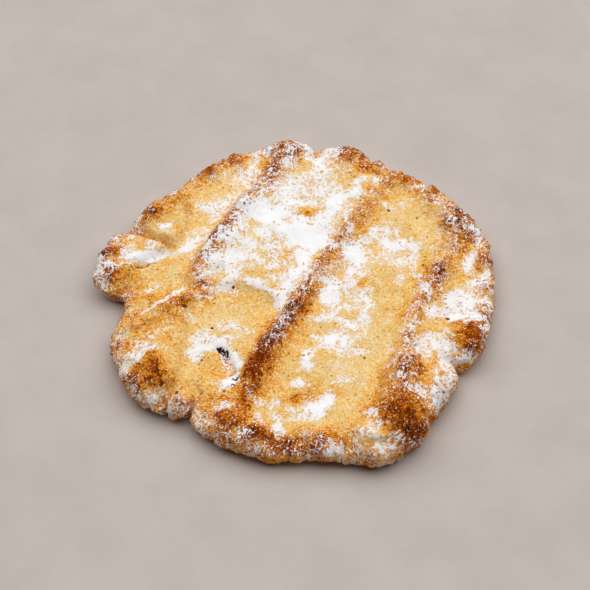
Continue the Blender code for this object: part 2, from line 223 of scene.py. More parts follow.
# Height of each layer of relief: on smooth crust, and what craggy crust adds.
BLISTERS = (0, 0.42)
PEBBLES = (0, 0.3)
GRIT = (0.05, 0.16)
CRUMBS = (0.03, 0.12)
BLISTER_BAKE = 0.26  # how much browner the blisters are
POWDER_SOFTENING = 0.5  # share of the relief that thick powder fills
POWDER_HEIGHT = 0.08
DARK_SPECK_DEPTH = 0.35
PIT_DEPTH = 0.2

# ---- powdered sugar and browning
# Patches: x, y, half length, half width, amount, and the turn of the length from +X where there is one.
SUGAR = [
    # the slab, thick
    (-6, 19.5, 5, 3.2, 1, -10), (-1, 16, 4.5, 3.5, 1, -40), (2.5, 13.5, 5, 3.5, 1),
    (6.2, 18.4, 3.2, 2, 0.7, 60), (8.2, 22.6, 3.4, 2.2, 0.9, 60), (11.8, 24.6, 2.4, 1.4, 0.8, 60),
    (6.8, 28.2, 1.6, 1.4, 0.4), (-12, 8, 2.6, 2.6, 0.8), (-14.8, 6.4, 2.2, 2.2, 0.7),
    (-16.4, 7.4, 1.6, 2.2, 0.6), (-12.4, 3.8, 1.8, 1.8, 0.62), (-13, 12.6, 2.2, 1.8, 0.85),
    (-10.6, 15, 1.4, 1, 0.5, -35),
    # the slab, thinner
    (5.6, 25.6, 3, 2.2, 0.62), (-1.6, 25.2, 4.4, 2.2, 0.72, 10), (0.5, 28.6, 4.6, 1.8, 0.5),
    (5.3, 31.5, 1.8, 3.2, 0.72), (5, 36.6, 3, 3.4, 0.62), (8.4, 38.2, 1.2, 1.8, 0.55),
    (1.8, 38.2, 1, 2.2, 0.2), (-1, 32.6, 1.5, 2.4, 0.52), (-3.2, 2.4, 2.4, 1.2, 0.55, 20),
    (-3.6, 6.2, 2.6, 1.6, 0.55), (-4, 9, 1.8, 1.2, 0.7), (0.4, 8.2, 1.8, 1.4, 0.4), (-8, 7.6, 2.2, 1.6, 0.6),
    (-9.2, 4.8, 1.6, 1.2, 0.5), (-8.8, 11.4, 2.6, 1.5, 0.65, -40), (-6.6, 14.4, 3.2, 1.2, 0.8, -40),
    (-10.6, 17.4, 2, 2, 0.55), (9.5, 32, 2.2, 3, 0.3), (-4.8, 11.2, 2.2, 1.6, 0.6),
    (3.8, 22.8, 1.6, 1.2, 0.7), (-0.2, 22.7, 2.2, 1.4, 0.85), (13.2, 28.4, 1.8, 1.2, 0.55, 50),
    # along the centre ridge
    (3.2, 10.2, 2.8, 1.6, 0.95, 50), (1, 5, 3.8, 1.5, 0.95, 66), (-1.6, -0.6, 2.8, 1.4, 0.9, 62),
    (-3, -3.4, 1.3, 0.9, 0.7, 50), (6.6, 10.8, 2.6, 1.2, 0.35, 60), (4, 5, 2.2, 1, 0.4, 62),
    (2.4, 2.4, 1.6, 0.9, 0.6, 60), (5.2, 2.8, 1.6, 1.1, 0.5, 60), (10.4, 18.6, 3.2, 1.2, 0.4, 60),
    (15.8, 29, 1.6, 2.2, 0.35), (10, 14.6, 1.6, 1.2, 0.5, 60), (-3.4, -6.9, 0.8, 1.2, 0.3),
    (-2.2, -10.2, 1, 2.2, 0.28), (-3.6, -14, 1, 1.4, 0.28), (0.8, -1.6, 1.4, 1.2, 0.3, 60),
    # the slab's lower edge
    (-8.2, 1.8, 2.6, 0.8, 0.8, -22), (-5.2, -0.8, 2.8, 0.7, 0.85, -38), (-2.8, -3.2, 1.6, 0.9, 0.8, -35),
    (-13.6, 1.2, 2.4, 1.1, 0.7, 35), (-17, -1.5, 2.4, 0.7, 0.4, 25), (-12.8, -0.2, 1.6, 0.8, 0.4),
    (-17.2, 3, 2, 1.2, 0.6, 50),
    # the left valley
    (-14.8, 22.4, 3, 1.6, 0.62, 25), (-17.6, 22.2, 2, 1.6, 0.6), (-10.8, 30.6, 1.8, 2.6, 0.5),
    (-16.2, 19.8, 2, 1.2, 0.5, 30), (-8.6, 33.2, 1.2, 2.2, 0.55), (-12, 25.4, 1.6, 1.3, 0.42, 30),
    (-8.2, 37, 0.9, 2.4, 0.4), (-10.2, 21, 1.8, 1, 0.3, 45), (-19, 15, 3, 1.6, 0.5, 20),
    (-20.8, 12, 2.6, 1.2, 0.6, 35), (-20.4, 9, 1.6, 1, 0.4, 40), (-13.2, 27.6, 2, 1.4, 0.15, 30),
    (-7, 26.6, 2, 1.2, 0.15, 55), (-5.4, 37.4, 1.4, 2.2, 0.55), (-8.8, 29.6, 1.6, 3.4, 0.3),
    (-15.4, 30.4, 2.4, 1.2, 0.3, 30), (-25.9, 15.8, 1.1, 1, 0.95), (-24.6, 13.4, 1.6, 0.6, 0.4, -30),
    (-23.2, 9.8, 1.4, 1, 0.25),
    # the left lobe
    (-30.6, 8.5, 3.4, 1.2, 1, 4), (-35.6, 12, 1.2, 1.8, 0.45), (-26.6, 9.4, 2.2, 0.8, 0.9, 12),
    (-33.2, 10.6, 1.6, 1, 0.4), (-32.4, 15, 1.2, 2.4, 0.45), (-28, 11.2, 1.8, 1.1, 0.55),
    (-22.2, 10.6, 1.8, 0.9, 0.25, 30), (-33.4, 6, 2.4, 0.6, 0.6, 20), (-36.4, 5, 1.4, 0.9, 0.65),
    (-38.8, 6.6, 1, 2.6, 0.6), (-31.9, 20.8, 0.8, 3, 0.62), (-25, 27, 0.7, 2.4, 0.4),
    (-37.6, 2, 1.6, 1.2, 0.3),
    # the left channel
    (-23.4, -1, 1.8, 0.55, 0.9, 35), (-26.2, -3.6, 1.9, 0.5, 0.8, 42), (-28.6, -6, 1.4, 0.45, 0.6, 40),
    (-28.2, 0.7, 1.2, 0.35, 0.75, 15), (-33, 1, 1, 0.8, 0.25),
    # the lower left
    (-29.8, -17.8, 1.5, 1.3, 0.7, 20), (-29.6, -14.2, 1.8, 1.1, 0.4), (-27.4, -15.6, 2.4, 1.1, 0.6, 10),
    (-26.2, -11.2, 2.6, 0.9, 0.32, 30), (-26.2, -26.2, 1.4, 1, 0.45), (-33.2, -11.6, 1.2, 1.2, 0.35),
    (-32.5, -19.5, 1.4, 1.4, 0.3), (-28.6, -26.4, 2.4, 0.8, 0.4, -30),
    # round the burst
    (-17.6, -11.6, 2.8, 1.4, 0.62, 38), (-12.8, -8.4, 2.2, 1.3, 0.6), (-18.6, -15, 2.4, 1.1, 0.8, 40),
    (-14.4, -12.6, 2.4, 1.5, 0.85), (-16, -14.2, 2.2, 1, 0.85, 15), (-12.2, -19, 1.5, 1.3, 0.95),
    (-12, -16.4, 2.6, 1.4, 1, -62), (-11.4, -20.6, 2.4, 1.1, 0.95, -85), (-13.2, -23.2, 2, 1.1, 0.95, 25),
    (-20.6, -7.2, 1.6, 1.4, 0.35), (-19.2, -16.4, 1.4, 1.2, 0.4, 20), (-11.4, -19.2, 1.2, 1.8, 0.7),
    (-9.8, -10.4, 1.8, 1.4, 0.35), (-22, -12.2, 1.4, 1.2, 0.3), (-12.6, -4.4, 3, 1, 0.2, -20),
    # the front
    (-12.9, -28.6, 1.6, 1.4, 0.62), (-7.2, -27.2, 1.2, 1.2, 0.42), (-4, -27.2, 0.9, 1.2, 0.6),
    (-6.4, -31, 1, 1.4, 0.5), (-3.4, -32.6, 1.4, 2.6, 0.66), (0.2, -31, 2.6, 1, 0.42),
    (4.4, -28.4, 3, 1.9, 1, 30), (6.2, -26.4, 1.4, 1.6, 0.75), (2, -17.8, 1.5, 2.2, 0.88),
    (1, -22.6, 1.8, 1.1, 0.62), (2.6, -35, 1.6, 1.2, 0.3), (-0.2, -29, 1.6, 1, 0.5),
    (-18.4, -30, 2.4, 0.7, 0.3, -42), (-14.2, -29.6, 1.2, 1, 0.3), (7.2, -37.6, 2, 1.6, 0.42),
    (-9.6, -34.6, 1.4, 1.2, 0.3), (2, -25.4, 1.2, 0.8, 0.2),
    # the right valley
    (12, 9.6, 2.4, 3.2, 1), (8.8, 5.6, 2, 2, 0.25), (11.8, 5.6, 1.6, 1.8, 0.5), (16.8, 8.6, 2.2, 2.2, 0.4),
    (11, -1, 1.2, 1, 0.35), (7.4, 1.2, 1.8, 2.2, 0.8), (6.8, -1.6, 1.8, 2.2, 0.85), (11.2, 2.2, 1.8, 2, 0.7),
    (14, 4.4, 1.4, 1.4, 0.4), (14.4, 13, 2.2, 1.2, 0.45, 40), (7.2, -6.8, 2, 1.6, 0.5),
    (10.4, -15, 4.2, 1.5, 0.52), (13.2, -7.2, 1.4, 1.8, 0.5), (13.4, -2.8, 1.7, 3.4, 0.68),
    (8.8, -4.6, 1.8, 1.2, 0.45), (10.2, 0.4, 1, 1.2, 0.5), (10.2, -4, 1.2, 1.3, 0.6),
    (20.6, 11.8, 3.4, 1.7, 0.9), (20.8, 7.6, 2.6, 2, 0.5), (18.8, 15.4, 2.4, 1.2, 0.5, -20),
    (15.8, 15.6, 1.2, 1.1, 0.9), (17.6, 13.4, 1.8, 1.2, 0.6, -30), (23.4, 10.6, 1, 3.2, 0.5),
    (23.8, 4, 0.9, 2.4, 0.55, 10), (20.6, 3, 1.4, 1.6, 0.4), (4.4, -6.8, 2.4, 1.2, 0.55, 25),
    (10.2, -8.2, 1.8, 1.4, 0.8), (8, -12.2, 3.2, 1.8, 0.95), (12.8, -10.6, 1, 1.8, 0.4),
    (4, -11.6, 1.4, 1.4, 0.35), (3, -15.8, 1.4, 1, 0.4), (4.6, -14, 1.4, 1, 0.45), (18.6, 22.2, 1, 1.4, 0.42),
    (21.6, 22.6, 1, 0.9, 0.32), (19.2, 17.6, 2, 1.4, 0.22), (9.6, -22, 3, 1.4, 0.42),
    (17.8, -14.8, 1.2, 0.9, 0.42), (18.2, -19, 0.9, 1, 0.5), (8.2, -18, 2.2, 1.4, 0.22),
    (15.8, 2.6, 1.2, 1.6, 0.2),
    # the right ridge
    (25.8, -0.6, 0.9, 2.4, 0.42, 20), (27.6, -5.2, 2.4, 1.4, 0.75), (22.4, -10.2, 0.8, 1.2, 0.2),
    (24.6, 0.6, 0.8, 2, 0.35, 15), (22.6, -13.2, 1.2, 0.7, 0.25), (19.2, -23.2, 1.4, 0.8, 0.5, -20),
    (29, 2.4, 0.6, 2.6, 0.2, -20), (28.2, 13, 0.6, 2.4, 0.3, -10), (31.2, 17.4, 1.6, 0.7, 0.42),
    # the right edge
    (32.4, -3.2, 3, 3.7, 1), (32.4, -3.2, 2.4, 3, 0.9), (30.6, -6.2, 1.6, 1, 0.85, 20),
    (35, -6.6, 1.8, 0.6, 0.8, -25), (34.4, 7.6, 1.1, 2.4, 0.85, -15), (35.8, 2.4, 1.6, 1.6, 0.75),
    (37.4, -2.2, 1, 2.4, 0.15), (37, 13.4, 0.9, 2.6, 0.5), (35.6, 16, 1.6, 0.9, 0.6),
    (37.9, 4.8, 0.9, 1.6, 0.5), (25.8, -12.4, 2.6, 1.8, 0.75), (24.2, -15.4, 1.8, 1.4, 0.42),
    (28.8, -14.8, 1.4, 2, 0.75), (29.4, -18, 1.9, 1.8, 0.95), (29.4, -10.8, 1.2, 2, 0.5),
    (27, -25, 1.2, 1.4, 0.5), (26.6, -22, 0.7, 2.4, 0.5, 5), (29.4, -22.2, 1.2, 1.6, 0.3),
    (23.6, -26, 2.4, 1.1, 0.66), (26.8, -27.6, 1.2, 1.2, 0.6), (28, -28.8, 2, 0.8, 0.35, 50),
    (14, -30.4, 1, 1.2, 0.75), (24.6, -32.6, 2.2, 0.6, 0.35, 50), (33.4, -16.6, 2, 0.5, 0.55),
    (36.4, -11.8, 0.7, 1.6, 0.4), (12.8, -35.4, 1.8, 1.4, 0.45), (15.6, -36.6, 1.8, 0.8, 0.35, 10),
    (14.6, -33.6, 1.2, 2.2, 0.35), (17.4, -37.4, 2.6, 1, 0.5, 12), (12, -38.4, 1, 0.9, 0.2),
    (17.2, -33.6, 1, 0.8, 0.3), (31.6, -20.6, 0.8, 2, 0.5, -10),
]
# Places that the powder missed, within the patches above.
BARE = [
    (-7.4, -20.6, 3.4, 2, 0.75, 68), (5, 6.6, 3.2, 0.7, 0.5, 62), (9.6, 14.4, 3, 0.6, 0.3, 62),
    (2.5, 19.8, 1.4, 1, 0.9, 20), (-1.3, 17.7, 0.9, 0.9, 0.6), (-8.8, 16.8, 1.7, 1.1, 0.75, -35),
    (-4, 12.4, 1.2, 0.7, 0.4, -35), (-6.2, 9.4, 1, 0.6, 0.4), (-2.6, 7.6, 1, 0.7, 0.3),
    (-8.4, 3.4, 1.4, 0.8, 0.5, -10), (-5.8, 2.2, 1, 0.9, 0.4), (13.2, 2, 0.9, 0.9, 0.9),
    (-17, -19.4, 2.3, 1.9, 1, 35), (-9.4, 5.8, 1, 0.6, 0.4), (0.4, 30.8, 1.6, 1.2, 0.3),
    (33.4, -11.4, 3.4, 3.2, 0.9), (-27, -21.4, 2.8, 3.6, 0.8), (21, -32.2, 4.2, 4.2, 0.85, 10),
]
PATCH_CORE = 0.3  # the share of a patch's size within which it is at its full amount
PATCH_FADE = 1.65  # where it ends
PATCH_WANDER = 1.1  # how far the noise moves the edges of the patches

# Around the edge of the top: angle, browning, how far in that reaches, and powder.
EDGE = [
    (0, 0.16, 4, 0.38), (20, 0.44, 3, 0.24), (35, 0.28, 4.5, 0.22), (50, 0.26, 4, 0.1), (65, 0.35, 4, 0.24),
    (75, 0.42, 4, 0.24), (85, 0.15, 4, 0.5), (95, 0.34, 4, 0.26), (110, 0.43, 4.2, 0.18), (125, 0.3, 3, 0.16),
    (140, 0.3, 4, 0.22), (150, 0.3, 4, 0.26), (165, 0.6, 3.5, 0.24), (175, 0.35, 3.5, 0.36),
    (185, 0.2, 3.5, 0.15), (200, 0.18, 4, 0.28), (215, 0.24, 4.5, 0.35), (230, 0.34, 4, 0.45),
    (245, 0.4, 5.5, 0.26), (260, 0.44, 5.5, 0.24), (275, 0.4, 4.5, 0.26), (290, 0.3, 4, 0.24),
    (305, 0.38, 4, 0.26), (320, 0.26, 3, 0.4), (335, 0.35, 4, 0.4), (350, 0.36, 3, 0.38),
]
EDGE_POWDER_REACH = 3.5
DUST = 0.07  # powder everywhere
RIDGE_DUST = {"centre": 0.2, "left": 0.32, "lower_left": 0.1, "right": 0.28}
SIDE_SUGAR = 0.32
UNDERSIDE_SUGAR = 0.12

# Browning that the ridges and domes don't give, with minus for pale dough.
BROWNING = [
    (6.4, 8.6, 4.4, 0.9, 0.12, 62), (23.5, 20, 5, 5, -0.05), (16, -29.6, 3.2, 4, 0.18), (-31, 0, 5, 5, 0.14),
    (2, -25, 6, 3.4, 0.12), (-7.6, -16, 1.6, 3.4, 0.2, -25), (-19, -23, 4, 3.4, 0.08),
    (11, 18, 6, 1.2, 0.08, 60), (17.6, 27.4, 2, 2.4, 0.16), (-22.5, 21, 2.2, 1.6, 0.06),
    (-25.5, -8, 4, 2.4, 0.1, 35), (-26, -12.5, 5, 4, 0.12), (-33, -11.5, 3, 5, 0.12),
    (24.6, -20.6, 2.4, 4.6, 0.1), (15, -27.6, 1.8, 3, 0.08), (33.6, -8.4, 2.8, 2, 0.34),
    (-8.4, -33.6, 3.2, 2.2, 0.14), (-27.4, -22.4, 2.6, 1.8, 0.12), (-9.6, -28.4, 1.6, 3, 0.4),
    (-1.2, -37.2, 2.6, 2.2, 0.42), (10.2, -35, 2.2, 2.4, 0.1), (12.4, 33, 4.4, 3.2, 0.16),
    (-5, 31.5, 1.6, 4, 0.25), (35.2, 12, 2.6, 3.6, 0.18), (33, 20, 2, 2.4, 0.16), (13.2, 2, 1.2, 1.3, 0.26),
    (2.3, 19.4, 2.2, 1.6, 0.2, 20), (23.6, -11, 2.6, 5, -0.05), (22.6, -19.4, 1.6, 1.8, -0.08),
    (16.4, -22, 1.6, 3.4, 0.14), (20.4, -32.4, 4.6, 4.6, 0.08), (13.4, -37.4, 2.2, 1.2, -0.12),
    (-15.6, -32.6, 1.8, 1.6, -0.12), (0, -26.4, 3.2, 1.6, 0.22, 10), (25.4, 5.2, 1.6, 3, 0.08),
    (28.4, 7.2, 1.8, 2.2, -0.12), (33.4, 10, 1.6, 2.4, 0.1), (-3, 7, 3, 3, 0.08),
    (-13.6, -26.8, 2.4, 2.2, 0.3), (13.2, -30, 1.6, 1.8, 0.1), (-22, -8, 2, 1.4, 0.12),
    (-29.5, 10.9, 1.8, 1.4, 0.12), (-33.5, 4.2, 3, 1.6, 0.16), (-12, -4, 7, 3, 0.03),
    (17.5, -12, 3, 5, -0.04), (17.6, -3, 2.2, 2.6, 0.06), (10, -20, 4, 4, -0.06), (-14.6, -18.6, 3, 3, 0.1),
    (-12.6, -22.4, 1.6, 2.6, 0.12), (-19.6, 28.6, 2, 1.6, 0.1), (-25, 3.4, 5, 2.6, -0.03),
]
BASE_BROWNING = 0.16
BAKE_REACH = (1.2, 1.1)  # browning over a ridge's width, to the left and right of its run
HALO = (0.42, 3.6, 0.3)  # the golden band by a ridge: its share, its width and how much of it is to the left
SIDE_BROWNING = 0.48
UNDERSIDE_BROWNING = 0.95
UNEVEN_BAKE = (0.1, 0.22, 0.2)  # how much browning varies on the top, the side and the underside

# Dark specks in the burst: x, y, radius.
DARK_SPECKS = [
    (-14.6, -14.3, 0.45), (-14, -15, 0.7), (-13.4, -15.7, 0.8), (-12.9, -16.6, 0.55), (-12.3, -17.9, 0.45),
    (-11.9, -18.9, 0.4), (-11.5, -19.8, 0.4), (-11.2, -21.4, 0.5), (-11.6, -23.3, 0.3), (-13, -14.9, 0.35),
]
# Small pits: x, y, radius. They are sunk into the relief and get painted shade.
PITS = [
    (-12.1, 0.6, 0.36), (-16, -9.5, 0.34), (-21.4, -5, 0.5), (29.6, -6.5, 0.4), (18.9, 21.4, 0.35),
    (24.6, 19.4, 0.25), (-17.8, -17, 0.28), (30.6, 30, 0.4), (22.4, 30.6, 0.45), (-9.8, -21.8, 0.3),
    (26.4, 13.9, 0.3), (-29.8, -8.2, 0.25), (12.4, -16, 0.25), (13.2, -16.6, 0.22), (-13.4, -24.6, 0.3),
    (2.4, -37, 0.3), (25.2, 6.8, 0.3), (-22.3, -25, 0.35), (-25.2, -24.4, 0.4),
]
SPOT_FADE = (0.6, 1.25)  # shares of a spot's radius between which it ends

# ---- how the looks are laid out for baking: the middle of each view in the map, and how far the map spans
TOP_VIEW = (0.375, 0.625, 122)
UNDERSIDE_VIEW = (0.85, 0.15, 330)
SIDE_ROOM = 0.8  # how far out a point moves in its view for each millimetre along the side
SIDE_START = 3  # above the widest line, where that begins in the view of the top

# ---- colours, as the screen shows them
# Dough from pale to burnt: browning, and the colour.
BAKED = [
    (0.0, (246, 221, 169)), (0.14, (243, 204, 130)), (0.28, (242, 187, 94)), (0.42, (236, 160, 60)),
    (0.58, (214, 126, 34)), (0.72, (188, 98, 22)), (0.86, (156, 72, 8)), (1.0, (120, 48, 2)),
]
# Painted shade in the small holes of the crust, on pale and on burnt crust.
HOLE_SHADE_COLOUR = (168, 112, 46)
BURNT_HOLE_SHADE_COLOUR = (92, 38, 10)
SUGAR_COLOUR = (251, 250, 250)
VEIL_COLOUR = (252, 232, 212)
DARK_SPECK_COLOUR = (38, 30, 32)
# Painted shade in the cracks, on pale and on burnt crust.
CRACK_SHADE_COLOUR = (150, 86, 34)
BURNT_CRACK_SHADE_COLOUR = (62, 24, 8)
# Painted shade in the pits.
PIT_SHADE_COLOUR = (122, 66, 24)
GRAIN_COLOURS = [(243, 240, 238), (252, 252, 252)]

# ---- loose sugar
GRAINS = 3000
GRAIN_RADIUS = (0.07, 0.16)
GRAIN_VARIETY = (0.7, 1.1)
GRAIN_JITTER = (0.7, 1.25)  # how uneven each grain is
GRAIN_FLATNESS = 0.55
GRAIN_RISE = 0.05  # how far above the crust its middle is, as a share of its size
GRAIN_SEED = 7

# ---- the studio, in metres
FLOOR_COLOUR = (196, 186, 179)
FLOOR_TINT = 3  # how much lighter and darker its mottling is
FLOOR_MOTTLE = 0.012
FLOOR_SIZE = 6
LIGHT_PLACE = (0.1, 0.6, 1.95)
LIGHT_SIZE = (5.2, 3)
LIGHT_POWER = 93
SKY_COLOUR = (1, 0.99, 0.98, 1)
SKY_STRENGTH = 0.05
CAMERA_FIELD = 16  # degrees across the picture
CAMERA_ELEVATION = 50
CAMERA_DISTANCE = 0.4103
AIM = (0.00018, -0.00146, 0.005)  # beside the middle of the base
SENSOR = 36


def smooth_step(x, low=0.0, high=1.0):
    x = np.clip((x - low) / (high - low), 0.0, 1.0)
    return x * x * (3 - 2 * x)


def bell(distance, width):
    return np.exp(-((distance / width) ** 2))


def dome(patch, x, y):
    centre_x, centre_y, radius = patch
    return np.exp(-DOME_FALLOFF * (np.hypot(x - centre_x, y - centre_y) / radius) ** 2)


# ---- noise
SEED_SHIFT = np.array([3.1, 1.7, 2.3])
FRACTAL = (0.9, 2.1)  # how fast the finer layers of rough noise weaken, and how much finer each is
COBBLE_REACH = 0.75


def sample(function, points, size, seed):
    """One of Blender's noises at each point, for features of this size."""
    shifted = points / size + seed * SEED_SHIFT
    return np.fromiter((function(p) for p in shifted.tolist()), float, len(points))


def rough(points, size, seed, octaves=3):
    return sample(lambda p: noise.fractal(p, *FRACTAL, octaves), points, size, seed)


def cobbles(points, size, seed):
    """Rounded grains: 1 at the middle of each and 0 in the cracks between them."""
    near = sample(lambda p: noise.voronoi(p)[0][0], points, size, seed)
    return np.clip(1 - (near / COBBLE_REACH) ** 2, 0, 1)


def lumps(x, y, size, seed):
    return np.array([noise.noise((a / size, b / size, seed)) for a, b in zip(x.tolist(), y.tolist())])


# ---- the form
def outline_table():
    """Angles and radii of the rounded outline with its notches."""
    step = 360 / TABLE_STEPS
    fine = np.arange(TABLE_STEPS) * step
    angles, radii = np.array(RIM, float).T
    sharp = np.interp(fine, angles, radii, period=360)
    reach = int(4 * RIM_SOFTNESS / step)
    offsets = np.arange(-reach, reach + 1)
    weights = np.exp(-0.5 * (offsets * step / RIM_SOFTNESS) ** 2)
    radius = sum(w * np.roll(sharp, n) for w, n in zip(weights / weights.sum(), offsets))
    for at, depth, half_width in NOTCHES:
        away = (fine - at + 180) % 360 - 180
        radius = radius - depth * bell(away, half_width)
    return fine, radius


OUTLINE = outline_table()


def outline_radius(angle):
    return np.interp(angle % 360, *OUTLINE, period=360)


def along(line, x, y):
    """Each point's distance to a line, its side of it, and the line's own values where it is nearest."""
    line = np.array(line, float)
    distance = np.full(x.shape, np.inf)
    side = np.ones(x.shape)
    values = np.zeros((line.shape[1] - 2,) + x.shape)
    for a, b in zip(line[:-1], line[1:]):
        run = b - a
        share = ((x - a[0]) * run[0] + (y - a[1]) * run[1]) / (run[0] ** 2 + run[1] ** 2)
        share = np.clip(share, 0, 1)
        dx, dy = x - a[0] - share * run[0], y - a[1] - share * run[1]
        here = np.hypot(dx, dy)
        nearer = here < distance
        distance = np.where(nearer, here, distance)
        side = np.where(nearer, np.sign(run[0] * dy - run[1] * dx), side)
        found = a[2:, None] + share * run[2:, None]
        values = np.where(nearer, found, values)
    return distance, side, values


def depth_inside(corners, x, y):
    """Distance to the edge of a closed shape, positive inside it."""
    loop = corners + corners[:1]
    distance = along(loop, x, y)[0]
    inside = np.zeros(x.shape, bool)
    for (ax, ay), (bx, by) in zip(loop[:-1], loop[1:]):
        if ay != by:
            crosses_at = ax + (y - ay) * (bx - ax) / (by - ay)
            inside ^= ((ay > y) != (by > y)) & (x < crosses_at)
    return np.where(inside, distance, -distance)


def top_height(x, y):
    """Height of the cookie's top above the table, in millimetres."""
    height = np.full(x.shape, FLOOR)
    for rise, softness, corners in SLABS.values():
        height += rise * smooth_step(depth_inside(corners, x, y) / softness + 0.5)
    for line in RIDGES.values():
        distance, side, (rise, left, right, _) = along(line, x, y)
        width = np.where(side > 0, left, right)
        height += rise * np.exp(-((distance / width) ** RIDGE_SHARPNESS))
    for *patch, rise, _ in DOMES:
        height += rise * dome(patch, x, y)
    for line in GROOVES.values():
        distance, _, (depth, width) = along(line, x, y)
        height -= depth * bell(distance, width)
    for number, (size, rise, _) in enumerate(LUMPS):
        height += rise * lumps(x, y, size, LUMP_SEED + number)
    inward = outline_radius(np.degrees(np.arctan2(y, x))) - np.hypot(x, y)
    return height - EDGE_DROP * (1 - smooth_step(inward / EDGE_FALL)) ** EDGE_CURVE


def uneven_radius(angle):
    """The outline with the lumps of the dough pushed into it."""
    radius = outline_radius(angle)
    turn = np.radians(angle)
    for number, (size, _, push) in enumerate(LUMPS):
        at = radius * np.cos(turn), radius * np.sin(turn)
        radius = radius + push * lumps(*at, size, -LUMP_SEED - number)
    return radius


def disc_from_square(u, v):
    """Angle and share of the radius for a point of the square grid, whose square rings become circles."""
    reach = np.maximum(np.abs(u), np.abs(v))
    safe = np.where(reach > 0, reach, 1)
    wide = np.abs(u) >= np.abs(v)
    across = np.where(wide, v / safe * np.sign(u), -u / safe * np.sign(v))
    start = np.where(wide, np.where(u >= 0, 0, 180), np.where(v >= 0, 90, 270))
    return (start + 45 * across) % 360, reach


def top_points(u, v):
    angle, share = disc_from_square(u, v)
    radius = share * MEAN_RADIUS + share**GRID_BEND * (uneven_radius(angle) - SHOULDER - MEAN_RADIUS)
    x, y = radius * np.cos(np.radians(angle)), radius * np.sin(np.radians(angle))
    return np.stack([x, y, top_height(x, y)], 1)


def side_points(angle, quarter_turns):
    """One ring of the side: 0 is where it leaves the top, 1 its widest line and 2 the edge of the base."""
    radius = uneven_radius(angle)
    turn = np.radians(angle)
    lobe = bell(angle % 360 - LEFT_LOBE_ANGLE, LEFT_LOBE_SPREAD)
    equator = EQUATOR + LEFT_LOBE_LIFT * lobe
    swing = quarter_turns * np.pi / 2
    if quarter_turns <= 1:
        start = radius - SHOULDER
        crown = top_height(start * np.cos(turn), start * np.sin(turn))
        radius = start + SHOULDER * np.sin(swing)
        height = equator + (crown - equator) * np.cos(swing)
    else:
        undercut = UNDERCUT + LEFT_LOBE_UNDERCUT * lobe
        radius = radius - undercut * (1 - np.sin(swing))
        height = equator + equator * np.cos(swing)
    return np.stack([radius * np.cos(turn), radius * np.sin(turn), height], 1)


def sorted_by_angle(points):
    angle = np.arctan2(points[:, 1], points[:, 0])
    order = np.argsort(angle)
    return angle[order], np.hypot(points[:, 0], points[:, 1])[order]


def base_points(border):
    """Points in rows across the flat base, clear of its edge."""
    reach = np.arange(-MEAN_RADIUS, MEAN_RADIUS, BASE_STEP)
    x, y = (grid.ravel() for grid in np.meshgrid(reach, reach))
    stray, along_y, along_x = BASE_SHAKE
    x = x + stray * BASE_STEP * np.sin(along_y * y)
    y = y + stray * BASE_STEP * np.sin(along_x * x)
    edge = np.interp(np.arctan2(y, x), *sorted_by_angle(border), period=2 * np.pi)
    inside = np.hypot(x, y) < edge - BASE_MARGIN * BASE_STEP
    return np.stack([x[inside], y[inside]], 1)


def cap_base(border):
    """Points and triangles for the flat base within its border."""
    inner = base_points(border)
    flat = [Vector(p) for p in np.concatenate([border[:, :2], inner]).tolist()]
    edges = [(n, (n + 1) % len(border)) for n in range(len(border))]
    triangles = geometry.delaunay_2d_cdt(flat, edges, [], 1, 1e-6)
    return np.c_[inner, np.zeros(len(inner))], triangles[2], triangles[3]


def crust_form():
    """Points in millimetres, and faces: a grid bent into the top, rings down the side, and the flat base."""
    steps = np.linspace(-1, 1, CELLS + 1)
    u, v = (grid.ravel() for grid in np.meshgrid(steps, steps))
    points = [top_points(u, v)]
    row = CELLS + 1
    corner = (np.arange(CELLS)[:, None] * row + np.arange(CELLS)).ravel()
    faces = np.stack([corner, corner + 1, corner + row + 1, corner + row], 1).tolist()
    last = row * row - 1
    ring = np.concatenate([
        np.arange(CELLS), np.arange(CELLS) * row + CELLS,
        last - np.arange(CELLS), last - CELLS - np.arange(CELLS) * row,
    ])
    angle = disc_from_square(u[ring], v[ring])[0]
    count = row * row
    for quarter_turns in SIDE_STEPS:
        points.append(side_points(angle, quarter_turns))
        below = count + np.arange(len(ring))
        faces += np.stack([ring, below, np.roll(below, -1), np.roll(ring, -1)], 1).tolist()
        ring = below
        count += len(ring)
    inner, triangles, sources = cap_base(points[-1])
    points.append(inner)
    faces += [[ring[0] + sources[corner][0] for corner in reversed(face)] for face in triangles]
    return np.concatenate(points), faces


# ---- what varies over the crust
def patch_strength(patch, x, y):
    centre_x, centre_y, length, width, amount, turn = (*patch, 0)[:6]
    cos, sin = math.cos(math.radians(turn)), math.sin(math.radians(turn))
    dx, dy = x - centre_x, y - centre_y
    reach = np.hypot((dx * cos + dy * sin) / length, (dy * cos - dx * sin) / width)
    return amount * (1 - smooth_step(reach, PATCH_CORE, PATCH_FADE))


def wander(points, size, reach, seed):
    """The plan position of each point, moved about by noise, which makes edges ragged."""
    x = points[:, 0] + reach * rough(points, size, seed)
    y = points[:, 1] + reach * rough(points, size, seed + 5)
    return x, y


def edge_values(x, y):
    """How far in from the outline each point is, and the values of EDGE at its angle."""
    angle = np.degrees(np.arctan2(y, x)) % 360
    inward = np.maximum(outline_radius(angle) - np.hypot(x, y), 0)
    table = np.array(EDGE, float).T
    return inward, [np.interp(angle, table[0], column, period=360) for column in table[1:]]


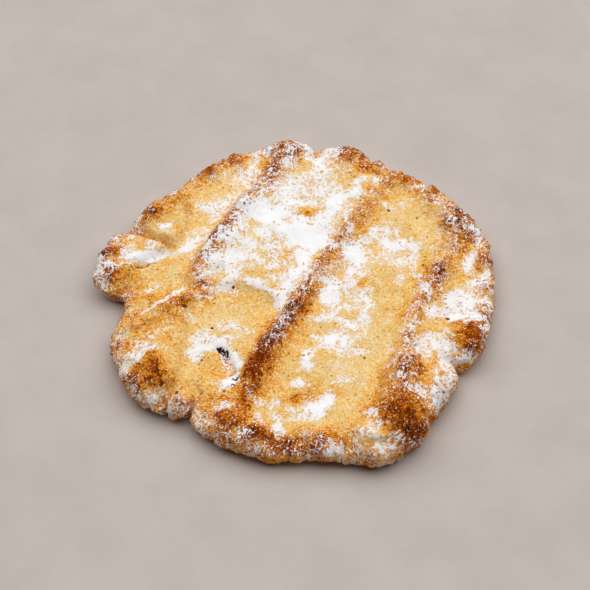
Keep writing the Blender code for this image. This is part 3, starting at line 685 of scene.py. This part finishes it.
def sugar_field(points, top_share):
    """How thick the powdered sugar lies: 0 is none and 1 hides the crust."""
    x, y = wander(points, size=2.6, reach=PATCH_WANDER, seed=3)
    inward, (_, _, edge_powder) = edge_values(x, y)
    bare = 1 - DUST - edge_powder * bell(inward, EDGE_POWDER_REACH)
    for name, line in RIDGES.items():
        distance, side, (_, left, right, _) = along(line, x, y)
        bare *= 1 - RIDGE_DUST[name] * bell(distance, np.where(side > 0, left, right))
    for patch in SUGAR:
        bare *= 1 - patch_strength(patch, x, y)
    sugar = 1 - bare
    for patch in BARE:
        sugar *= 1 - patch_strength(patch, x, y)
    side = SIDE_SUGAR * (1 + rough(points, size=4, seed=9))
    return sugar * top_share + side * (1 - top_share)


def browning_field(points, top_share, underside):
    """How far the crust is baked: 0 is pale and 1 is burnt."""
    uneven_top, uneven_side, uneven_below = UNEVEN_BAKE
    x, y = wander(points, size=3, reach=0.8, seed=6)
    brown = np.full(len(points), BASE_BROWNING)
    reach_left, reach_right = BAKE_REACH
    halo_share, halo_width, halo_left = HALO
    for line in RIDGES.values():
        distance, side, (_, left, right, baked) = along(line, x, y)
        width = np.where(side > 0, reach_left * left, reach_right * right)
        brown += baked * bell(distance, width)
        halo = halo_share * baked * bell(distance, halo_width)
        brown += np.where(side > 0, halo, halo_left * halo)
    for *patch, _, baked in DOMES:
        brown += baked * dome(patch, x, y)
    for patch in BROWNING:
        brown += patch_strength(patch, x, y)
    inward, (edge_brown, reach, _) = edge_values(x, y)
    brown += edge_brown * bell(inward, reach)
    brown += uneven_top * rough(points, size=2.4, seed=8) * smooth_step(brown, 0.1, 0.5)
    side = SIDE_BROWNING + uneven_side * rough(points, size=3, seed=12)
    brown = brown * top_share + side * (1 - top_share)
    below = UNDERSIDE_BROWNING + uneven_below * rough(points, size=6, seed=15)
    return np.where(underside, below, brown)


def spots_field(spots, points, top_share, ragged):
    """1 inside the spots, with ragged edges."""
    x, y = wander(points, size=0.8, reach=ragged, seed=21)
    field = np.zeros(len(points))
    for centre_x, centre_y, radius in spots:
        distance = np.hypot(x - centre_x, y - centre_y) / radius
        field = np.maximum(field, 1 - smooth_step(distance, *SPOT_FADE))
    return field * top_share


def crack_field(points, top_share):
    """Depth of the hairline cracks in millimetres, and 0 to 1 for how far into one a point is, which sets its
    painted shade.
    """
    x, y = wander(points, size=1.3, reach=CRACK_WANDER, seed=31)
    depth = np.zeros(len(points))
    inside = np.zeros(len(points))
    for painted_gap_shade, half_width, line in CRACKS.values():
        distance = along(line, x, y)[0]
        here = bell(distance, half_width) * top_share
        depth = np.maximum(depth, painted_gap_shade * here)
        inside = np.maximum(inside, here * min(1, painted_gap_shade / OPEN_CRACK))
    return depth, inside


def craggy_field(points, browning, top_share):
    """How craggy the crust is: more so the darker the bake, near the rim and on the side."""
    inward = edge_values(points[:, 0], points[:, 1])[0]
    by_bake, pale = CRAGGY_BY_BAKE
    by_rim, rim_reach = CRAGGY_BY_RIM
    craggy = CRAGGY_START + by_bake * (browning - pale) + by_rim * bell(inward, rim_reach)
    return np.clip(craggy + CRAGGY_SIDE * (1 - top_share), *CRAGGY_LIMITS)


def crust_fields(points):
    """Everything that varies over the crust, by name."""
    top_share = smooth_step(points[:, 2], *(EQUATOR + above for above in TOP_BAND))
    underside = points[:, 2] < UNDERSIDE_BAND
    browning = browning_field(points, top_share, underside)
    craggy = craggy_field(points, browning, top_share)
    blister = rough(points, size=2.6, seed=40)
    crack_depth, crack = crack_field(points, top_share)
    return {
        "top": top_share,
        "sugar": np.where(underside, UNDERSIDE_SUGAR, sugar_field(points, top_share)),
        "browning": browning + BLISTER_BAKE * craggy * blister * top_share,
        "dark_speck": spots_field(DARK_SPECKS, points, top_share, ragged=0.5),
        "pit": spots_field(PITS, points, top_share, ragged=0.15),
        "crack": crack,
        "crack_depth": crack_depth,
        "craggy": craggy,
        "blister": blister,
    }


def relief(points, fields):
    """How far the fine relief pushes the surface out, in millimetres."""
    def height(layer):
        return layer[0] + layer[1] * fields["craggy"]

    covered = smooth_step(fields["sugar"], 0.35, 0.95)
    push = height(BLISTERS) * fields["blister"]
    push += height(PEBBLES) * (cobbles(points, size=1.5, seed=41) - 0.5)
    push += height(GRIT) * (cobbles(points, size=0.85, seed=42) - 0.5)
    push += height(CRUMBS) * rough(points, size=0.7, seed=43, octaves=2)
    push *= 1 - POWDER_SOFTENING * covered
    push += POWDER_HEIGHT * covered * (0.6 + rough(points, size=1.4, seed=44))
    push -= fields["crack_depth"] + DARK_SPECK_DEPTH * fields["dark_speck"] + PIT_DEPTH * fields["pit"]
    return push * smooth_step(points[:, 2], 0, BASE_FADE)


# ---- meshes
def mesh_from(name, points, faces):
    mesh = bpy.data.meshes.new(name)
    mesh.from_pydata((points * MM).tolist(), [], faces)
    mesh.shade_smooth()
    return mesh


def add_piece(name, data):
    piece = bpy.data.objects.new(name, data)
    bpy.context.scene.collection.objects.link(piece)
    return piece


def vectors(items, name):
    """One vector for each point or face of a mesh."""
    values = np.empty(3 * len(items), np.float32)
    items.foreach_get(name, values)
    return values.reshape(-1, 3)


def whole_numbers(items, name):
    values = np.empty(len(items), np.int32)
    items.foreach_get(name, values)
    return values


def node_middle(points):
    """How far to move points so that the middle of their box is over the CAD node's, on the same base."""
    low, high = (np.array(corner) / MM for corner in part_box(NODE))
    shift = (low + high) / 2 - (points.min(0) + points.max(0)) / 2
    shift[2] = low[2]
    return shift


def plan_view(points, view, along_side):
    """Each point's place in a view of the bake map, spread out by how far down or up the side it is."""
    middle_u, middle_v, span = view
    radius = np.hypot(points[:, 0], points[:, 1])
    grown = (radius + SIDE_ROOM * np.clip(along_side, 0, None)) / np.maximum(radius, 1e-6)
    return np.stack([middle_u + points[:, 0] * grown / span, middle_v + points[:, 1] * grown / span], 1)


def add_bake_map(mesh, points):
    """Plan views of the top and of the underside, as the map that the looks are baked through."""
    layer = mesh.uv_layers.new(name="OFBake")
    corners = whole_numbers(mesh.loops, "vertex_index")
    faces_below = vectors(mesh.polygons, "center")[:, 2] < EQUATOR * MM
    lower = np.repeat(faces_below, whole_numbers(mesh.polygons, "loop_total"))
    upper_uv = plan_view(points, TOP_VIEW, EQUATOR + SIDE_START - points[:, 2])
    lower_uv = plan_view(points, UNDERSIDE_VIEW, points[:, 2])
    uv = np.where(lower[:, None], lower_uv[corners], upper_uv[corners])
    layer.data.foreach_set("uv", uv.astype(np.float32).ravel())


# ---- shader helpers
def linear(colour):
    """A colour as the screen shows it, 0 to 255, in Blender's own terms."""
    shares = [c / 255 for c in colour]
    return [((c + 0.055) / 1.055) ** 2.4 if c > 0.04 else c / 12.92 for c in shares] + [1]


class Graph:
    """A short way to write a material's nodes."""

    def __init__(self, name):
        self.material = bpy.data.materials.new(name)
        self.material.use_nodes = True
        self.tree = self.material.node_tree
        self.shader = self.tree.nodes["Principled BSDF"]

    def node(self, kind, inputs=(), **settings):
        made = self.tree.nodes.new("ShaderNode" + kind)
        for key, value in settings.items():
            setattr(made, key, value)
        for key, value in dict(inputs).items():
            self.feed(made.inputs[key], value)
        return made

    def feed(self, socket, value):
        if isinstance(value, bpy.types.NodeSocket):
            self.tree.links.new(value, socket)
        else:
            socket.default_value = value

    def shade(self, name, value):
        """What the surface itself gets."""
        self.feed(self.shader.inputs[name], value)

    def math(self, operation, *values):
        return self.node("Math", enumerate(values), operation=operation).outputs[0]

    def add(self, first, second):
        return self.math("ADD", first, second)

    def less(self, first, second):
        return self.math("SUBTRACT", first, second)

    def times(self, first, second):
        return self.math("MULTIPLY", first, second)

    def step(self, value, low, high):
        """0 below low, 1 above high, smooth between."""
        inputs = {"Value": value, "From Min": low, "From Max": high}
        return self.node("MapRange", inputs, interpolation_type="SMOOTHSTEP").outputs[0]

    def attribute(self, name):
        return self.node("Attribute", attribute_name=name).outputs["Fac"]

    def place(self):
        return self.node("TexCoord").outputs["Object"]

    def vector(self, operation, inputs):
        return self.node("VectorMath", inputs, operation=operation).outputs[0]

    def noise(self, vector, size, detail=2, roughness=0.5, output="Fac"):
        inputs = {"Vector": vector, "Scale": 1 / size, "Detail": detail, "Roughness": roughness}
        return self.node("TexNoise", inputs).outputs[output]

    def wave(self, vector, size, reach, detail=2, roughness=0.5):
        """Noise about zero, seldom beyond a third of the reach either way."""
        return self.times(self.less(self.noise(vector, size, detail, roughness), 0.5), reach)

    def warp(self, vector, size, reach):
        """The position moved about by noise, which bends whatever is drawn with it."""
        shift = self.noise(vector, size, detail=1, output="Color")
        shift = self.vector("SUBTRACT", {0: shift, 1: (0.5, 0.5, 0.5)})
        shift = self.vector("SCALE", {0: shift, "Scale": 2 * reach})
        return self.vector("ADD", {0: vector, 1: shift})

    def combed(self, vector, turn, stretch):
        """The position squeezed along one way, so that whatever is drawn with it is drawn out that way."""
        inputs = {"Vector": vector, "Rotation": (0, 0, math.radians(turn)), "Scale": (stretch, 1, 1)}
        return self.node("Mapping", inputs, vector_type="TEXTURE").outputs[0]

    def voronoi(self, vector, size, feature="F1", output="Distance"):
        inputs = {"Vector": vector, "Scale": 1 / size}
        return self.node("TexVoronoi", inputs, feature=feature).outputs[output]

    def dots(self, vector, size, radius, channel, rarity):
        """Round dots, one in each random cell that draws a number above the rarity."""
        dot = self.less(1, self.step(self.voronoi(vector, size), *radius))
        colour = self.voronoi(vector, size, output="Color")
        number = self.node("SeparateColor", {0: colour}).outputs[channel]
        return self.times(dot, self.step(number, rarity, self.add(rarity, 0.05)))

    def blend(self, share, first, second):
        return self.node("Mix", {0: share, 2: first, 3: second}).outputs[0]

    def mix(self, share, first, second):
        """The first colour with a share of the second; colours are as linear gives them."""
        return self.node("Mix", {0: share, 6: first, 7: second}, data_type="RGBA").outputs[2]

    def ramp(self, value, stops):
        made = self.node("ValToRGB", {"Fac": value})
        elements = made.color_ramp.elements
        while len(elements) < len(stops):
            elements.new(0.5)
        for element, (position, colour) in zip(elements, stops):
            element.position = position
            element.color = linear(colour)
        return made.outputs["Color"]

    def bump(self, height, strength, distance):
        made = self.node("Bump", {"Strength": strength, "Distance": distance, "Height": height})
        self.shade("Normal", made.outputs["Normal"])


class CrustGraph(Graph):
    """The crust's graph, in millimetres, with what most of its parts start from."""

    def __init__(self):
        super().__init__("baked_crust")
        self.spot = self.vector("SCALE", {0: self.place(), "Scale": 1 / MM})
        self.ragged = self.warp(self.spot, 0.8, 0.45)
        self.swirled = self.warp(self.warp(self.spot, 2.6, 1.3), 0.7, 0.3)
        self.sugar = self.attribute("sugar")
        self.browning = self.attribute("browning")
        self.crumb = self.wave(self.ragged, 0.42, 1, roughness=0.7)


def baked_holes(g):
    """Small holes between the crumbs, more of them the darker the bake; the bump sinks them and the dough
    colour gives them painted shade.
    """
    rarity = g.less(0.8, g.times(g.step(g.browning, 0.2, 0.6), 0.65))
    return g.dots(g.ragged, 0.9, radius=(0.16, 0.28), channel=0, rarity=rarity)


def dough_colour(g, hole):
    """Baked dough with broad blotches and fine crumbs, which stand out more the darker the bake, and painted
    shade in its small holes and in the gaps of thick powder.
    """
    blotch = g.add(g.wave(g.ragged, 1.4, 0.75, detail=3, roughness=0.7), g.times(g.crumb, 0.8))
    contrast = g.add(0.5, g.times(g.step(g.browning, 0.15, 0.6), 0.6))
    baked = g.add(g.browning, g.times(blotch, contrast))
    baked = g.add(baked, g.wave(g.spot, 4.5, 0.35))
    baked = g.add(baked, g.times(g.crumb, 1.05))
    # Under thick powder the dough is drawn browner, as painted shade in the small gaps where it shows
    # through.
    painted_gap_shade = g.times(g.step(g.sugar, 0.35, 0.9), 0.22)
    dough = g.ramp(g.add(baked, painted_gap_shade), BAKED)
    # The small holes get painted shade, darker in browner crust.
    painted_shade_tone = g.mix(g.step(g.browning, 0.2, 0.6), linear(HOLE_SHADE_COLOUR), linear(BURNT_HOLE_SHADE_COLOUR))
    return g.mix(g.times(hole, 0.85), dough, painted_shade_tone)


def fine_powder(g, amount):
    """Strands and specks: brushed strands in some places and a net in others."""
    brushed = g.warp(g.combed(g.warp(g.spot, 12, 6), turn=55, stretch=2.6), 0.7, 0.3)
    strand = g.wave(brushed, 0.9, 4.4, detail=1, roughness=0.4)
    strand = g.less(1, g.math("ABSOLUTE", strand))
    net = g.less(1, g.times(g.voronoi(g.swirled, 1, "DISTANCE_TO_EDGE"), 2.8))
    style = g.step(g.noise(g.spot, 3.2, detail=1), 0.38, 0.62)
    pattern = g.add(g.blend(style, net, strand), g.wave(g.ragged, 0.45, 1))
    fine = g.times(g.step(g.add(pattern, amount), 1.13, 1.2), g.step(g.sugar, 0.02, 0.08))
    specks = g.dots(g.ragged, 0.7, radius=(0.19, 0.28), channel=1, rarity=g.less(0.78, g.sugar))
    return g.math("MAXIMUM", fine, g.times(specks, 0.9))


def powder_gaps(g):
    """Small open dots in thick powder, in some places only and fewest where it is thickest."""
    away = g.add(g.voronoi(g.swirled, 0.85), g.wave(g.ragged, 0.4, 0.55))
    dot = g.less(1, g.step(away, 0.27, 0.34))
    sparse = g.times(g.step(g.sugar, 0.75, 1), 0.14)
    return g.times(dot, g.step(g.less(g.wave(g.spot, 2.2, 1), sparse), -0.07, 0.01))


def powder(g):
    """How far powder covers the crust: as a thin veil, as grains both fine and thick, and as thick cover."""
    uneven = g.wave(g.spot, 2, 0.55, detail=3, roughness=0.6)
    amount = g.add(g.sugar, g.times(uneven, g.step(g.sugar, 0.03, 0.3)))
    gaps = powder_gaps(g)
    veil = g.less(0.46, g.times(g.step(g.browning, 0.35, 0.7), 0.4))
    veil = g.times(g.times(g.step(amount, 0.1, 0.75), veil), g.less(1, gaps))
    clots = g.wave(g.swirled, 0.55, 1.9, detail=3, roughness=0.75)
    thick = g.step(g.add(amount, clots), 0.625, 0.75)
    white = g.math("MAXIMUM", g.times(fine_powder(g, amount), 0.95), thick)
    return veil, g.times(white, g.less(1, g.times(gaps, 0.95))), thick


def with_marks(g, colour):
    """The colour with painted shade in the cracks and the pits, and dark specks in the burst, drawn over it.
    """
    dark_speck, pit, crack = g.attribute("dark_speck"), g.attribute("pit"), g.attribute("crack")
    # Painted shade in the cracks, darker in browner crust.
    painted_shade_tone = g.mix(g.step(g.browning, 0.35, 0.65), linear(CRACK_SHADE_COLOUR), linear(BURNT_CRACK_SHADE_COLOUR))
    colour = g.mix(g.times(g.step(crack, 0.3, 0.7), 0.8), colour, painted_shade_tone)
    # Painted shade in the pits.
    colour = g.mix(g.step(pit, 0.2, 0.7), colour, linear(PIT_SHADE_COLOUR))
    # Dark specks in the burst.
    dark = g.step(g.add(dark_speck, g.wave(g.ragged, 0.35, 2.2)), 0.45, 0.6)
    return g.mix(g.times(dark, g.step(dark_speck, 0.02, 0.15)), colour, linear(DARK_SPECK_COLOUR))


def crust_material():
    g = CrustGraph()
    hole = baked_holes(g)
    veil, white, thick = powder(g)
    colour = g.mix(veil, dough_colour(g, hole), linear(VEIL_COLOUR))
    colour = g.mix(white, colour, linear(SUGAR_COLOUR))
    g.shade("Base Color", with_marks(g, colour))
    g.shade("Roughness", g.add(0.6, g.times(white, 0.3)))
    g.shade("Specular IOR Level", 0)

    bare = g.add(g.times(g.crumb, 1.1), g.wave(g.ragged, 0.25, 0.4, detail=1))
    bare = g.less(bare, g.times(hole, 0.4))
    height = g.blend(thick, bare, g.wave(g.spot, 0.4, 0.25))
    g.bump(g.add(height, g.times(white, 0.12)), strength=0.9, distance=0.2 * MM)
    return g.material


def sugar_material():
    g = Graph("sugar")
    tint = g.noise(g.place(), size=0.6 * MM)
    g.shade("Base Color", g.mix(g.step(tint, 0.3, 0.7), *map(linear, GRAIN_COLOURS)))
    g.shade("Roughness", g.add(0.55, g.times(tint, 0.3)))
    g.bump(g.noise(g.place(), size=0.12 * MM, detail=1), strength=0.3, distance=0.05 * MM)
    return g.material


# ---- pieces
def make_crust():
    points, faces = crust_form()
    mesh = mesh_from("crust", points, faces)
    fields = crust_fields(points)
    points = points + vectors(mesh.vertices, "normal") * relief(points, fields)[:, None]
    points[:, 2] = np.clip(points[:, 2], 0, CAD_BOUNDS[1].z / MM + CREST_ROOM)
    points += node_middle(points)
    mesh.vertices.foreach_set("co", (points * MM).astype(np.float32).ravel())
    mesh.update()
    for name in ("sugar", "browning", "dark_speck", "pit", "crack"):
        layer = mesh.attributes.new(name, "FLOAT", "POINT")
        layer.data.foreach_set("value", fields[name].astype(np.float32))
    add_bake_map(mesh, points)
    mesh.materials.append(crust_material())
    crust = add_piece("crust", mesh)
    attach(crust, "root")
    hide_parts(NODE)
    return crust, fields


def ball_shape():
    """Points and triangles of a small round grain of radius 1."""
    ball = bmesh.new()
    bmesh.ops.create_icosphere(ball, subdivisions=1, radius=1)
    shape = np.array([vertex.co[:] for vertex in ball.verts])
    corners = np.array([[vertex.index for vertex in face.verts] for face in ball.faces])
    ball.free()
    return shape, corners


def uneven_grains(draw, shape):
    """Each grain's points about its own middle, pushed about and turned any way, and its size."""
    size = draw.uniform(*GRAIN_RADIUS, GRAINS) * draw.uniform(*GRAIN_VARIETY, GRAINS)
    jitter = draw.uniform(*GRAIN_JITTER, (GRAINS, len(shape), 1))
    turns = np.linalg.qr(draw.normal(size=(GRAINS, 3, 3)))[0]
    turns *= np.sign(np.linalg.det(turns))[:, None, None]
    return np.einsum("nij,nkj->nki", turns, shape[None] * jitter) * size[:, None, None], size


def make_sugar_grains(crust, fields):
    """Loose grains, half sunk: more where powder is thicker, but none where it hides the crust."""
    draw = np.random.default_rng(GRAIN_SEED)
    places = vectors(crust.data.vertices, "co") / MM
    sugar = np.clip(fields["sugar"], 0, 1)
    weight = fields["top"] * sugar * (1 - smooth_step(sugar, 0.5, 0.9)) * (1 - fields["dark_speck"])
    chosen = draw.choice(len(places), GRAINS, replace=False, p=weight / weight.sum())
    shape, corners = ball_shape()
    grains, size = uneven_grains(draw, shape)
    upright = vectors(crust.data.vertices, "normal")[chosen]
    squashed = GRAIN_FLATNESS * np.einsum("nij,nj->ni", grains, upright)[:, :, None] * upright[:, None]
    centres = places[chosen] + upright * (GRAIN_RISE * size)[:, None]
    points = (grains - squashed + centres[:, None]).reshape(-1, 3)
    faces = (corners[None] + (np.arange(GRAINS) * len(shape))[:, None, None]).reshape(-1, 3)
    mesh = mesh_from("sugar_grains", points, faces.tolist())
    mesh.materials.append(sugar_material())
    piece = add_piece("sugar_grains", mesh)
    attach(piece, "root")


# ---- the studio
def make_floor():
    floor = bmesh.new()
    bmesh.ops.create_grid(floor, x_segments=1, y_segments=1, size=FLOOR_SIZE / 2)
    mesh = bpy.data.meshes.new("floor")
    floor.to_mesh(mesh)
    floor.free()
    g = Graph("floor")
    tint = g.noise(g.place(), FLOOR_MOTTLE, detail=4, roughness=0.6)
    painted_gap_shade, pale = (linear([c + shade for c in FLOOR_COLOUR]) for shade in (-FLOOR_TINT, FLOOR_TINT))
    g.shade("Base Color", g.mix(g.step(tint, 0.3, 0.7), painted_gap_shade, pale))
    g.shade("Roughness", 0.9)
    g.shade("Specular IOR Level", 0)
    mesh.materials.append(g.material)
    piece = add_piece("floor", mesh)


def make_light():
    """One wide softbox over the cookie, turned to face it."""
    light = bpy.data.lights.new("softbox", "AREA")
    light.shape = "RECTANGLE"
    light.size, light.size_y = LIGHT_SIZE
    light.energy = LIGHT_POWER
    lamp = add_piece("softbox", light)
    lamp.location = LIGHT_PLACE
    lamp.rotation_euler = (-Vector(LIGHT_PLACE)).to_track_quat("-Z", "Y").to_euler()


def make_sky():
    """A faint even glow, and colours shown as they are."""
    world = bpy.data.worlds.new("studio")
    world.use_nodes = True
    sky = world.node_tree.nodes["Background"]
    sky.inputs["Color"].default_value = SKY_COLOUR
    sky.inputs["Strength"].default_value = SKY_STRENGTH
    scene = bpy.context.scene
    scene.world = world
    scene.view_settings.view_transform = "Standard"
    scene.view_settings.look = "None"


def make_camera():
    data = bpy.data.cameras.new("camera")
    data.sensor_width = SENSOR
    data.lens = SENSOR / 2 / math.tan(math.radians(CAMERA_FIELD / 2))
    data.clip_start = 0.01
    camera = add_piece("camera", data)
    low, high = CAD_BOUNDS
    middle = Vector(((low.x + high.x) / 2, (low.y + high.y) / 2, low.z))
    raised = math.radians(CAMERA_ELEVATION)
    back = Vector((0, -math.cos(raised), math.sin(raised)))
    camera.location = middle + Vector(AIM) + back * CAMERA_DISTANCE
    camera.rotation_euler = (-back).to_track_quat("-Z", "Y").to_euler()
    bpy.context.scene.camera = camera


crust, fields = make_crust()
make_sugar_grains(crust, fields)
make_floor()
make_light()
make_sky()
make_camera()
